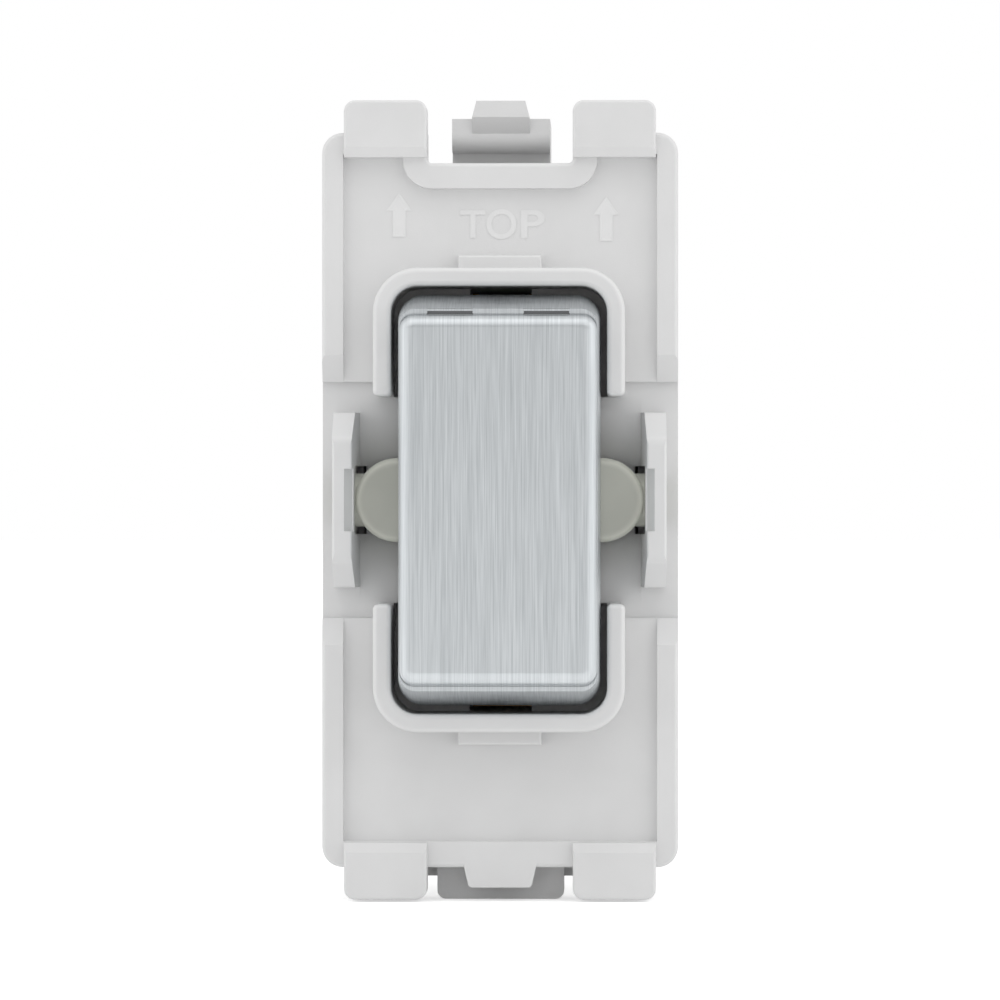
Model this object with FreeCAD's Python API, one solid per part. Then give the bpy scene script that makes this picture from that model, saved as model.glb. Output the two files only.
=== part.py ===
import FreeCAD, Part
import math
import os

# A retractive switch module for a modular wiring grid: press either end of the rocker and it makes one
# contact, let go and it swings back level. Millimetres, as installed: +X right, +Z up, and the user
# stands on the -Y side. The origin is the middle of the plane in which the lugs seat on the grid's rails.

# Front frame: a moulded plate with raised rims, a collar round the rocker and two bearing tabs
module_width = 24.0
frame_height = 49.5
frame_corner = 1.4
frame_edge = 0.3
side_rim = 1.42
foot_rim = 1.75
rim_front = 1.8
recess_depth = 0.9
plate_behind_seat = 1.2
valley_height = 15.95
valley_drop = 0.5
rim_slope = 1.8
skirt_wall = 1.3
skirt_gap = 6.6

# Notch at the top edge, through which the snap latch is reached
notch_width = 9.8
notch_depth = 2.05
notch_corner = 0.32
notch_band = 1.7
notch_band_overlap = 1.64
notch_band_corner = 1.9

# Lugs that rest on the front of the grid's rails, and the gap that a rail takes behind them
lug_width = 5.6
lug_reach = 2.15
lug_root = 1.67
lug_front = 2.6
lug_corner = 0.75
lug_edge = 0.22
lug_slope = 0.65
rail_gap = 1.35
foot_tongue_half = 2.42
foot_tongue_reach = 1.35

# Collar and well round the rocker
well_width = 14.42
well_height = 28.6
well_corner = 1.75
collar_wall = 1.2
collar_front = 6.4
collar_edge = 0.35
collar_break = 13.9
well_floor = 1.6
floor_wall = 1.0
floor_slot_width = 4.2
floor_slot_height = 1.35
hood_wall = 0.7
shelf_width = 1.4
rib_width = 5.6
rib_depth = 0.95
rib_front = 2.7

# Bearing tabs that hold the rocker's trunnions
tab_length = 11.76
tab_crown = 8.1
tab_shoulder = 1.0
tab_front = 4.9
tab_end_front = 3.0
tab_inner_foot = 9.5
tab_inner_crown = 9.88
tab_outer_crown = 11.2
tab_outer_foot = 11.1
relief_height = 4.6
relief_width = 0.68
lead_in = 0.52
lead_in_depth = 1.0

# Rocker: a brushed metal cap on a nylon dolly, swinging on two trunnions
pivot_front = 1.6
rock_angle = 7.0
cap_reach = 8.4
cap_side_gap = 0.44
cap_end_gap = 0.53
cap_corner = 1.7
cap_face_corner = 0.95
cap_crease = 0.9
cap_groove = 0.12
cap_groove_depth = 0.3
crease_notch_inner = 1.7
crease_notch_length = 3.0
crease_notch_height = 0.16
cap_flare = 1.4
cap_side_flare = 0.23
cap_flare_length = 6.6
cap_skirt_back = 0.3
cap_wall = 0.8
cap_edge = 0.8
trunnion_radius = 1.785
trunnion_clearance = 0.045
trunnion_end_gap = 0.35
bar_radius = 2.83
bar_tip_gap = 0.06
bar_front = 2.2
bar_back = 1.9
bar_edge = 0.6
dolly_fit = 0.05
dolly_wall = 1.1
dolly_skirt_back = 1.0

# Sprung plunger in the dolly's socket
socket_wall = 1.1
socket_reach = 4.6
socket_floor = 5.8
plunger_radius = 1.7
plunger_clearance = 0.04
plunger_back = 0.6
plunger_bore = 1.15
plunger_bore_end = 7.6
plunger_travel = 0.5
nose_radius = 1.2
nose_reach = 9.3
nose_gap = 0.06
plunger_spring_radius = 0.95
plunger_spring_wire = 0.28
plunger_spring_turns = 9

# Return springs between the dolly and the well floor
return_spring_offset = 9.2
return_spring_radius = 1.7
return_spring_wire = 0.36
return_spring_turns = 5
return_pocket_radius = 2.25
return_pocket_depth = 3.6
return_pocket_wall = 0.7
return_post_height = 1.2
spring_seat_gap = 0.02

# Rocking contact blade with its silver tips
blade_width = 4.0
blade_thickness = 0.8
blade_half_length = 7.9
blade_rise = 0.95
blade_bend = 1.1
blade_bearing = 0.25
fulcrum_gap = 0.03
contact_ratio = 1.6
tip_offset = 6.5
tip_radius = 1.3
tip_height = 0.9
tip_dome = 3.0
tip_shank = 0.7
tip_head = 0.3
closed_gap = 0.03

# Fixed contacts and the brass straps that carry them
strap_thickness = 0.8
strap_width = 3.0
fixed_tip_height = 0.9
pad_half = 2.0
live_1_run = 5.0
side_run = 6.6
saddle_half_height = 1.5
saddle_cheek = 0.7
saddle_cheek_gap = 0.12
saddle_cheek_rise = 1.2
saddle_cheek_half = 1.1

# Screw terminals
terminal_offset = 5.0
terminal_width = 6.4
terminal_depth = 6.6
terminal_height = 6.9
terminal_edge = 0.3
cable_bore = 1.7
cable_bore_inset = 2.6
screw_radius = 1.5
screw_clearance = 0.03
screw_length = 4.2
screw_tip_gap = 0.06
screw_slot_width = 0.6
screw_slot_depth = 0.9
screw_chamfer = 0.25

# Rear housing
housing_width = 21.2
housing_height = 41.2
housing_corner = 1.2
housing_wall = 1.3
flange_gap = 0.05
flange_inset = 0.1
flange_thickness = 1.5
pocket_gap = 0.1
tower_behind_block = 3.4
tower_edge = 0.5
middle_back = 17.6
middle_floor = 1.4
middle_rib = 1.4
screw_well = 1.95
cable_entry = 2.0
cable_entry_flare = 0.35
hook_half_width = 4.3
hook_reach = 2.3
hook_corner = 0.6
hook_tab_half_width = 6.3
hook_tab_reach = 0.8

# Snap latch that springs behind the upper rail
latch_half_width = 3.33
latch_web = 1.0
latch_rise = 1.15
latch_lip_drop = 1.25
latch_lip_depth = 2.0
latch_apron = 0.9
latch_apron_gap = 0.35
latch_rib = 0.36
latch_rib_depth = 1.9
latch_front = 2.3
latch_wall = 1.2
latch_length = 11.1
latch_tongue_half = 1.95
latch_tongue_tip_half = 1.66
latch_tongue_bevel = 1.1
latch_tongue_above_lugs = 0.18

# Snap legs that hold the frame to the housing
leg_offset = 9.5
leg_width = 6.0
leg_thickness = 1.1
leg_reach = 11.0
leg_gap = 0.05
window_width = 3.4
window_front = 7.4
window_length = 2.2
catch_gap = 0.1
catch_height = 0.9
pillar_radius = 1.1
pillar_offset = 10.8
pillar_gap = 0.05

# Depths from the seat plane, worked out from the sizes above; the front is negative
rim_y = -rim_front
recess_y = rim_y + recess_depth
valley_y = recess_y + valley_drop
skirt_back_y = well_floor + floor_wall
flange_y = skirt_back_y + flange_gap
flange_back_y = flange_y + flange_thickness
pivot_y = -pivot_front
cap_front_y = pivot_y - cap_reach
cap_back_y = pivot_y - cap_skirt_back
dolly_back_y = pivot_y - dolly_skirt_back
socket_floor_y = pivot_y - socket_floor
socket_end_y = pivot_y + socket_reach
plunger_back_y = pivot_y + plunger_back
nose_y = pivot_y + nose_reach
fulcrum_y = nose_y + nose_radius + nose_gap + blade_thickness + blade_bearing
return_top_y = dolly_back_y - return_pocket_depth

# Half sizes seen from the front, and the towers that hold the terminals
tower_height = terminal_height + 2 * (pocket_gap + housing_wall)
frame_top = frame_height / 2
notch_floor_z = frame_top - notch_depth
cap_half_width = well_width / 2 - cap_side_gap
cap_half_length = well_height / 2 - cap_end_gap
lug_inner_x = notch_width / 2

# The blade's wings and crests follow from the way the nose moves against them
contact_angle = rock_angle * contact_ratio


def turned(y, z, degrees):
    """The (y, z) offset turned about X."""
    c = math.cos(math.radians(degrees))
    s = math.sin(math.radians(degrees))
    return y * c - z * s, y * s + z * c


def point(x, y, z):
    return FreeCAD.Vector(x, y, z)


def centred(half):
    return (-half, half)


def block(x, y, z):
    """A block between three (low, high) pairs."""
    return Part.makeBox(x[1] - x[0], y[1] - y[0], z[1] - z[0], point(x[0], y[0], z[0]))


def extruded(points, along):
    return Part.Face(Part.makePolygon(points + points[:1])).extrude(along)


def from_front(corners, y):
    """A plate with these (x, z) corners, between two depths."""
    return extruded([point(a, y[0], b) for a, b in corners], point(0, y[1] - y[0], 0))


def from_side(corners, x):
    """A bar with these (y, z) corners, between two x."""
    return extruded([point(x[0], a, b) for a, b in corners], point(x[1] - x[0], 0, 0))


def from_above(corners, z):
    """A post with these (x, y) corners, between two heights."""
    return extruded([point(a, b, z[0]) for a, b in corners], point(0, 0, z[1] - z[0]))


def rod_y(radius, x, z, y):
    """A round rod along the depth, between two depths."""
    return Part.makeCylinder(radius, y[1] - y[0], point(x, y[0], z), point(0, 1, 0))


def rod_x(radius, y, z, x):
    return Part.makeCylinder(radius, x[1] - x[0], point(x[0], y, z), point(1, 0, 0))


def rod_z(radius, x, y, z):
    return Part.makeCylinder(radius, z[1] - z[0], point(x, y, z[0]), point(0, 0, 1))


def cone_y(radii, x, z, y):
    return Part.makeCone(radii[0], radii[1], y[1] - y[0], point(x, y[0], z), point(0, 1, 0))


def right_and_left(solid):
    """The solid and its mirror image across the middle."""
    return [solid, solid.mirror(point(0, 0, 0), point(1, 0, 0))]


def top_and_bottom(solid):
    return [solid, solid.mirror(point(0, 0, 0), point(0, 0, 1))]


def four_ways(solid):
    return [copy for side in right_and_left(solid) for copy in top_and_bottom(side)]


def joined(first, others):
    return first.fuse(others).removeSplitter()


def edges_along(solid, axis):
    """The straight edges that run along an axis."""
    found = []
    for edge in solid.Edges:
        run = edge.Vertexes[-1].Point - edge.Vertexes[0].Point
        if edge.Curve.TypeId == "Part::GeomLine" and run.Length - abs(run.dot(axis)) < 1e-6:
            found.append(edge)
    return found


def edges_at_depth(solid, y):
    """The edges that lie in the plane at one depth."""
    found = []
    for edge in solid.Edges:
        middle = edge.valueAt((edge.FirstParameter + edge.LastParameter) / 2)
        if all(abs(place.y - y) < 1e-5 for place in [middle] + [v.Point for v in edge.Vertexes]):
            found.append(edge)
    return found


def rounded_plate(width, height, corner, y):
    """A plate centred on the middle line, with its four corners rounded as seen from the front."""
    plate = block(centred(width / 2), y, centred(height / 2))
    return plate.makeFillet(corner, edges_along(plate, point(0, 1, 0)))


def spring(radius, wire, turns, x, z, y):
    """A coil of round wire along the depth: each half turn is a tilted half ring, and they meet smoothly."""
    rise = (y[1] - y[0] - wire) / (2 * turns)
    reach = math.sqrt(radius ** 2 - rise ** 2 / 4)
    halves = []
    for i in range(2 * turns):
        side = 1 if i % 2 == 0 else -1
        start = point(x + side * reach, y[0] + wire / 2 + i * rise, z)
        across = point(-2 * side * reach, rise, 0)
        disc = Part.Face(Part.Wire(Part.makeCircle(wire / 2, start, point(0, 0, 1))))
        halves.append(disc.revolve(start + across * 0.5, point(0, 0, side).cross(across), 180))
    return joined(halves[0], halves[1:])


# Front frame


def frame_plate():
    """The plate with its raised rims, the recess between them and the valley across the middle."""
    plate = rounded_plate(module_width, frame_height, frame_corner, (rim_y, plate_behind_seat))
    notch = block(centred(notch_width / 2), (rim_y, plate_behind_seat), (notch_floor_z, frame_top + frame_edge))
    floor_corners = [e for e in edges_along(notch, point(0, 1, 0)) if e.Vertexes[0].Z < frame_top]
    plate = plate.cut(notch.makeFillet(notch_corner, floor_corners))
    plate = plate.makeFillet(frame_edge, edges_at_depth(plate, rim_y))
    inner_x = module_width / 2 - side_rim
    recess = block(centred(inner_x), (rim_y, recess_y), (foot_rim - frame_top, frame_top - lug_root + 0.2))
    band_half = notch_width / 2 + notch_band_overlap
    band = block(centred(band_half), (rim_y, recess_y), (notch_floor_z - notch_band, frame_top))
    lower = [e for e in edges_along(band, point(0, 1, 0)) if e.Vertexes[0].Z < notch_floor_z]
    plate = plate.cut(recess.cut(band.makeFillet(notch_band_corner, lower)))
    valley_z = valley_height / 2
    valley = block(centred(module_width / 2), (rim_y, valley_y), centred(valley_z))
    ramp = from_side([(rim_y, valley_z), (recess_y, valley_z), (rim_y, valley_z + rim_slope)],
                     centred(module_width / 2))
    return plate.cut([valley] + top_and_bottom(ramp))


def lug():
    """One lug at the upper right: a pad over the plate's edge that slopes down at its root."""
    z = (frame_top - lug_root, frame_top + lug_reach)
    x = (lug_inner_x, lug_inner_x + lug_width)
    pad = block(x, (-lug_front, 0), z)
    outer = [e for e in edges_along(pad, point(0, 1, 0)) if e.Vertexes[0].Z > frame_top]
    pad = pad.makeFillet(lug_corner, outer)
    pad = pad.makeFillet(lug_edge, edges_at_depth(pad, -lug_front))
    slope = from_side([(-lug_front, z[0]), (-lug_front, z[0] + lug_slope), (-lug_front + lug_slope / 3, z[0])], x)
    return pad.cut(slope)


def foot_tongue():
    """The short tapered tongue at the foot, which covers the fixed hook."""
    root_z = foot_rim / 2 - frame_top
    tip_z = -frame_top - foot_tongue_reach
    tip_half = foot_tongue_half * 0.87
    corners = [(-foot_tongue_half, root_z), (foot_tongue_half, root_z), (foot_tongue_half, -frame_top),
               (tip_half, tip_z), (-tip_half, tip_z), (-foot_tongue_half, -frame_top)]
    tongue = from_front(corners, (rim_y, 0))
    tips = [e for e in edges_along(tongue, point(0, 1, 0)) if e.Vertexes[0].Z < tip_z + 0.01]
    return tongue.makeFillet(hook_corner / 2, tips)


def collar():
    """Two U-shaped walls, open at the middle where the bar's ends come out."""
    wide = well_width + 2 * collar_wall
    tall = well_height + 2 * collar_wall
    ring = rounded_plate(wide, tall, well_corner + collar_wall, (-collar_front, plate_behind_seat))
    ring = ring.cut(rounded_plate(well_width, well_height, well_corner, (-collar_front, plate_behind_seat)))
    opening = block(centred(wide), (-collar_front, plate_behind_seat), centred(collar_break / 2))
    ring = ring.cut(opening)
    leg_ends = [e for e in edges_along(ring, point(0, 1, 0)) if abs(e.Vertexes[0].Z) < collar_break / 2 + 0.01]
    ring = ring.makeFillet(collar_edge, leg_ends)
    return ring.makeFillet(collar_edge, edges_at_depth(ring, -collar_front))


def collar_ribs():
    """Low ribs above and below the collar, with a wider foot."""
    foot = collar_edge / 2
    z = (well_height / 2 + collar_wall / 2, well_height / 2 + collar_wall + rib_depth)
    rib = block(centred(rib_width / 2), (-rib_front, recess_y), z)
    rib = rib.makeFillet(foot, edges_at_depth(rib, -rib_front))
    base = block(centred(rib_width / 2 + foot), (recess_y - foot, recess_y), (z[0], z[1] + foot / 2))
    return top_and_bottom(rib) + top_and_bottom(base)


def tray():
    """The floor and outer walls of the well, behind the plate, widened where the pockets are."""
    wide = well_width + 2 * collar_wall
    tall = well_height + 2 * collar_wall
    well = rounded_plate(wide, tall, well_corner + collar_wall, (valley_y, skirt_back_y))
    wings = block(centred(tab_inner_foot + relief_width + collar_wall / 2), (valley_y, skirt_back_y),
                  centred(collar_break / 2 + collar_wall / 2))
    return [well, wings]


def skirt():
    """The wall behind the plate's edge, left out behind the latch and the hook."""
    y = (plate_behind_seat, skirt_back_y)
    wall = rounded_plate(module_width, frame_height, frame_corner, y)
    inside = block(centred(module_width / 2 - skirt_wall), y, centred(frame_top - skirt_wall))
    gap = block(centred(skirt_gap), y, centred(frame_top))
    return wall.cut([inside, gap])


def bearing_tab():
    """The right tab: it leans on the trunnion, with sloping ends and a lead-in for the trunnion's tip."""
    section = [(tab_inner_foot, plate_behind_seat), (tab_inner_foot, valley_y), (tab_inner_crown, -tab_front),
               (tab_outer_crown, -tab_front), (tab_outer_foot, valley_y), (tab_outer_foot, plate_behind_seat)]
    tab = from_above(section, centred(tab_length / 2))
    crown = [e for e in edges_at_depth(tab, -tab_front) if abs(e.Vertexes[0].Z - e.Vertexes[1].Z) > tab_crown]
    tab = tab.makeFillet(collar_edge / 2, crown)
    end = tab_length / 2
    flat = tab_crown / 2
    profile = from_side([(plate_behind_seat, -end), (-tab_end_front, -end), (-tab_front, -flat), (-tab_front, flat),
                         (-tab_end_front, end), (plate_behind_seat, end)], (tab_inner_foot - 1, tab_outer_crown + 1))
    shoulders = [e for e in edges_along(profile, point(1, 0, 0)) if e.Vertexes[0].Y < -tab_front + 0.01]
    profile = profile.makeFillet(tab_shoulder, shoulders)
    corners = [e for e in edges_along(profile, point(1, 0, 0)) if abs(e.Vertexes[0].Y + tab_end_front) < 0.01]
    profile = profile.makeFillet(tab_shoulder / 2, corners)
    notch = from_above([(tab_inner_foot, -tab_front), (tab_inner_crown + lead_in, -tab_front),
                        (tab_inner_crown, lead_in_depth - tab_front), (tab_inner_foot, lead_in_depth - tab_front)],
                       centred(relief_height / 2 - 0.2))
    return tab.common(profile).cut(notch)


def side_pocket():
    """The floor beside the rocker sinks in a smooth bow, which leaves room for the bar's end."""
    half = collar_break / 2
    x = well_width / 2 - shelf_width
    bow = Part.BSplineCurve()
    bow.interpolate([point(x, valley_y, -half), point(x, well_floor, 0), point(x, valley_y, half)],
                    InitialTangent=point(0, 0, 1), FinalTangent=point(0, 0, 1))
    chord = Part.makeLine(point(x, valley_y, half), point(x, valley_y, -half))
    outline = Part.Wire([bow.toShape(), chord])
    return Part.Face(outline).extrude(point(tab_inner_foot - x, 0, 0))


def dust_hood():
    """A tube behind the upper floor slot, which keeps what falls through it out of the contacts."""
    slot_top = well_height / 2
    half_x = floor_slot_width / 2 + hood_wall
    y = (well_floor, strap_front_y() - pillar_gap)
    return block(centred(half_x), y, (slot_top - floor_slot_height - hood_wall, slot_top + hood_wall))


def bearing_cuts():
    """The right bearing hole, and the core hole that clears the bar's tip beside it."""
    bearing = rod_x(trunnion_radius + trunnion_clearance, pivot_y, 0, (tab_inner_foot - 0.1, tab_outer_crown))
    core_x = (tab_inner_foot + relief_width * 0.38 - relief_width, tab_inner_foot + relief_width * 0.38)
    core = block(core_x, (pivot_y - bar_front - 0.3, skirt_back_y), centred(relief_height / 2))
    return [bearing, core]


def snap_leg():
    """One leg at the upper right, with the window that takes the housing's catch."""
    inner_x = housing_width / 2 + leg_gap
    z = (leg_offset - leg_width / 2, leg_offset + leg_width / 2)
    leg = block((inner_x, inner_x + leg_thickness), (plate_behind_seat, leg_reach), z)
    tips = [e for e in edges_along(leg, point(1, 0, 0)) if e.Vertexes[0].Y > leg_reach - 0.01]
    leg = leg.makeFillet(leg_thickness * 0.7, tips)
    window_z = (leg_offset - window_width / 2, leg_offset + window_width / 2)
    window = block((inner_x, inner_x + leg_thickness), (window_front, window_front + window_length), window_z)
    return leg.cut(window)


def pillar():
    """A pillar at the upper right that holds a strap down on the housing's floor."""
    return rod_y(pillar_radius, side_run, pillar_offset, (recess_y, strap_front_y() - pillar_gap))


def well():
    """The room that the rocker stands in, narrower at the middle, where a shelf meets the side pockets."""
    room = rounded_plate(well_width, well_height, well_corner, (-collar_front, well_floor))
    half_x = well_width / 2
    shelf = block((half_x - shelf_width, half_x), (valley_y, well_floor), centred(collar_break / 2))
    return room.cut(right_and_left(shelf))


def front_frame():
    frame = joined(frame_plate(), [collar(), foot_tongue()] + collar_ribs() + tray() + [skirt()])
    frame = joined(frame, four_ways(lug()) + right_and_left(bearing_tab()) + top_and_bottom(dust_hood()))
    frame = joined(frame, four_ways(snap_leg()) + four_ways(pillar()))
    slot_top = well_height / 2
    slot = block(centred(floor_slot_width / 2), (well_floor, strap_front_y()), (slot_top - floor_slot_height, slot_top))
    socket_half = plunger_radius + plunger_clearance + socket_wall
    swing = (skirt_back_y - pivot_y) * math.sin(math.radians(rock_angle))
    window = block(centred(socket_half + 0.4), (well_floor, skirt_back_y), centred(socket_half + swing + 0.2))
    cuts = [well(), window] + top_and_bottom(slot) + right_and_left(side_pocket())
    for cut in bearing_cuts():
        cuts += right_and_left(cut)
    frame = frame.cut(cuts)
    post_radius = return_spring_radius - return_spring_wire / 2 - 0.15
    post = rod_y(post_radius, 0, return_spring_offset, (well_floor - return_post_height, skirt_back_y))
    return joined(frame, top_and_bottom(post))


# Rocker


def rounded_outline(half_x, half_z, corner, y):
    """A rectangle with round corners, as a wire at one depth."""
    flat = rounded_plate(2 * half_x, 2 * half_z, corner, (y, y + 1))
    face = [f for f in flat.Faces if abs(f.CenterOfMass.y - y) < 1e-6][0]
    return face.OuterWire


def cap_form(inset, back_y):
    """The cap's skirt drawn in by an inset: it flares from the face towards the well in a soft curve."""
    rings = []
    for share, spread in ((0, 0), (0.35, 0.52), (0.7, 0.88), (1, 1)):
        half_x = cap_half_width - cap_side_flare * (1 - spread) - inset
        half_z = cap_half_length - cap_flare * (1 - spread) - inset
        corner = cap_face_corner + (cap_corner - cap_face_corner) * spread - inset / 3
        y = cap_front_y + inset + (cap_flare_length - inset) * share
        rings.append(rounded_outline(half_x, half_z, corner, y))
    flare = Part.makeLoft(rings, True, False)
    straight = rounded_plate(2 * (cap_half_width - inset), 2 * (cap_half_length - inset), cap_corner - inset / 3,
                             (cap_front_y + cap_flare_length, back_y))
    return flare.fuse(straight)


def rocker_cap():
    """A thin brushed shell with a raised face, notched at both sides where the dolly's bar comes out."""
    far = cap_half_length + cap_wall
    crease_y = cap_front_y + cap_crease
    face_half_x = cap_half_width - cap_side_flare
    face_half_z = cap_half_length - cap_flare - cap_groove
    skirt_form = cap_form(0, cap_back_y).cut(block(centred(far), (cap_front_y - 1, crease_y), centred(far)))
    groove = rounded_plate(2 * face_half_x, 2 * (face_half_z + cap_groove), cap_face_corner,
                           (crease_y, crease_y + cap_groove_depth))
    crease_notch = block((crease_notch_inner, crease_notch_inner + crease_notch_length),
                         (crease_y, crease_y + cap_groove_depth),
                         (face_half_z, face_half_z + cap_groove + crease_notch_height))
    skirt_form = skirt_form.cut([groove] + right_and_left(crease_notch))
    face = rounded_plate(2 * face_half_x, 2 * face_half_z, cap_face_corner, (cap_front_y, crease_y + cap_wall))
    face = face.makeFillet(cap_edge, edges_at_depth(face, cap_front_y))
    shell = joined(skirt_form, [face]).cut(cap_form(cap_wall, cap_back_y))
    bar_y = (pivot_y - bar_front - dolly_fit, cap_back_y)
    notch = block(centred(cap_half_width), bar_y, centred(bar_radius + dolly_fit))
    return shell.cut(notch)


def bar_end_x():
    """How far the bar's rounded ends reach, just short of the relief in the bearing tabs."""
    return tab_inner_foot + relief_width * 0.38 - bar_tip_gap


def dolly_bar():
    """The flat bar across the rocker, with rounded ends, and the trunnion that it swings on."""
    y = (pivot_y - bar_front, pivot_y + bar_back)
    middle_x = bar_end_x() - bar_radius
    bar = block(centred(middle_x), y, centred(bar_radius))
    bar = joined(bar, right_and_left(rod_y(bar_radius, middle_x, 0, y)))
    bar = bar.makeFillet(bar_edge, edges_at_depth(bar, y[0]))
    tip_x = tab_outer_foot - trunnion_end_gap
    trunnion = rod_x(trunnion_radius, pivot_y, 0, centred(tip_x))
    trunnion = trunnion.makeChamfer(0.2, [e for e in trunnion.Edges if abs(e.CenterOfMass.x) > tip_x - 0.01])
    return joined(bar, [trunnion])


def rocker_dolly():
    """The nylon carrier inside the cap: a thin tray with ribs, spring tubes, the bar and the socket."""
    outside = cap_form(cap_wall + dolly_fit, dolly_back_y)
    floor_y = cap_front_y + cap_wall + dolly_fit + dolly_wall
    hollow = cap_form(cap_wall + dolly_fit + dolly_wall, dolly_back_y)
    body = outside.cut(hollow.common(block(centred(cap_half_width), (floor_y, dolly_back_y), centred(cap_half_length))))
    spine = block(centred(dolly_wall / 2), (floor_y, dolly_back_y), centred(cap_half_length - cap_flare - cap_wall))
    body = joined(body, [spine, dolly_bar()])
    tube_radius = return_pocket_radius + return_pocket_wall
    tube = rod_y(tube_radius, 0, return_spring_offset, (floor_y, dolly_back_y)).common(outside)
    socket_radius = plunger_radius + plunger_clearance
    socket = rod_y(socket_radius + socket_wall, 0, 0, (floor_y, socket_end_y))
    body = joined(body, top_and_bottom(tube) + [socket])
    bore = rod_y(return_pocket_radius, 0, return_spring_offset, (return_top_y, dolly_back_y))
    plunger_hole = rod_y(socket_radius, 0, 0, (socket_floor_y, socket_end_y))
    return body.cut(top_and_bottom(bore) + [plunger_hole])


def plunger():
    """A hollow nylon plunger with a round nose that presses on the blade."""
    cone_y0 = nose_y - (plunger_radius - nose_radius) - nose_radius / 2
    body = rod_y(plunger_radius, 0, 0, (plunger_back_y, cone_y0))
    taper = cone_y((plunger_radius, nose_radius), 0, 0, (cone_y0, nose_y))
    nose = Part.makeSphere(nose_radius, point(0, nose_y, 0))
    bore = rod_y(plunger_bore, 0, 0, (plunger_back_y, pivot_y + plunger_bore_end))
    return joined(body, [taper, nose]).cut(bore)


def plunger_spring():
    y = (socket_floor_y + spring_seat_gap, pivot_y + plunger_bore_end - spring_seat_gap)
    return spring(plunger_spring_radius, plunger_spring_wire, plunger_spring_turns, 0, 0, y)


def return_spring():
    y = (return_top_y + spring_seat_gap, well_floor - spring_seat_gap)
    return spring(return_spring_radius, return_spring_wire, return_spring_turns, 0, return_spring_offset, y)


# Contacts


def nose_path_radius():
    """The radius of the path that the nose's middle follows, seen from the rocking blade."""
    run_y, run_z = turned(nose_reach, 0, rock_angle)
    side = turned(pivot_y + run_y - fulcrum_y, run_z, contact_angle)
    rise = nose_y - fulcrum_y - side[0]
    return (side[1] ** 2 + rise ** 2) / (2 * rise)


def blade_side(depth):
    """One long side of the blade, as edges from tip to tip, at a depth behind its front surface."""
    path_radius = nose_path_radius()
    valley_middle = nose_y - path_radius
    valley_radius = path_radius + nose_radius + nose_gap + depth
    wing_y = valley_middle + path_radius + nose_radius + nose_gap - blade_rise + depth
    crest_radius = blade_bend - depth
    crest_y = wing_y + crest_radius
    reach = valley_radius + crest_radius
    crest_z = math.sqrt(reach ** 2 - (crest_y - valley_middle) ** 2)
    slope = math.atan2(crest_z, crest_y - valley_middle)
    meet = (valley_middle + valley_radius * math.cos(slope), valley_radius * math.sin(slope))
    over = (crest_y - crest_radius * math.cos(slope / 2), crest_z - crest_radius * math.sin(slope / 2))
    x = -blade_width / 2

    def at(y, z):
        return point(x, y, z)

    return [Part.makeLine(at(wing_y, -blade_half_length), at(wing_y, -crest_z)),
            Part.Arc(at(wing_y, -crest_z), at(over[0], -over[1]), at(meet[0], -meet[1])).toShape(),
            Part.Arc(at(meet[0], -meet[1]), at(valley_middle + valley_radius, 0), at(*meet)).toShape(),
            Part.Arc(at(*meet), at(*over), at(wing_y, crest_z)).toShape(),
            Part.makeLine(at(wing_y, crest_z), at(wing_y, blade_half_length))]


def blade_wing_y():
    """The depth of the wings' back surface at rest."""
    return nose_y + nose_radius + nose_gap - blade_rise + blade_thickness


def moving_contact():
    """A copper blade with a valley for the nose and two flat wings, bored for its tips."""
    front = blade_side(0)
    back = blade_side(blade_thickness)
    ends = []
    for first, last in ((front[0], back[0]), (front[-1], back[-1])):
        side = -1 if first is front[0] else 1
        z = side * blade_half_length
        wing = [v.Point for e in (first, last) for v in e.Vertexes if abs(v.Z - z) < 1e-6]
        ends.append(Part.makeLine(wing[0], wing[1]))
    outline = Part.Wire(Part.__sortEdges__(front + back + ends))
    blade = Part.Face(outline).extrude(point(blade_width, 0, 0))
    ends = [e for e in edges_along(blade, point(0, 1, 0)) if abs(e.Vertexes[0].Z) > blade_half_length - 0.01]
    blade = blade.makeFillet(blade_width * 0.3, ends)
    back_y = blade_wing_y()
    hole = rod_y(tip_shank, 0, tip_offset, (back_y - blade_thickness, back_y))
    return blade.cut(top_and_bottom(hole))


def rivet(seat_y, toward, height):
    """A silver contact rivet through a strip: a domed face on one side and a closed head on the other."""
    back = -toward
    face_y = seat_y + toward * height
    dome = Part.makeSphere(tip_dome, point(0, face_y - toward * tip_dome, 0))
    face = rod_y(tip_radius, 0, 0, tuple(sorted((seat_y, face_y))))
    far = seat_y + back * blade_thickness
    shank = rod_y(tip_shank, 0, 0, tuple(sorted((seat_y, far))))
    head = rod_y(tip_radius * 0.8, 0, 0, tuple(sorted((far, far + back * tip_head))))
    return joined(face.common(dome), [shank, head])


def moving_tip():
    """The upper tip of the blade, facing the back."""
    tip = rivet(blade_wing_y(), 1, tip_height)
    tip.translate(point(0, 0, tip_offset))
    return tip


def closed_dome():
    """The (y, z) middle of the moving tip's dome once the blade has rocked right over."""
    dome_y = blade_wing_y() + tip_height - tip_dome
    y, z = turned(dome_y - fulcrum_y, tip_offset, -contact_angle)
    return fulcrum_y + y, z


def strap_front_y():
    """The straps' front surface, set so that the fixed tip just meets the moving one."""
    dome_y = closed_dome()[0] + 2 * tip_dome + closed_gap
    return dome_y - tip_dome + fixed_tip_height


def strap_back_y():
    return strap_front_y() + strap_thickness


def fixed_tip_z():
    return closed_dome()[1]


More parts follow.
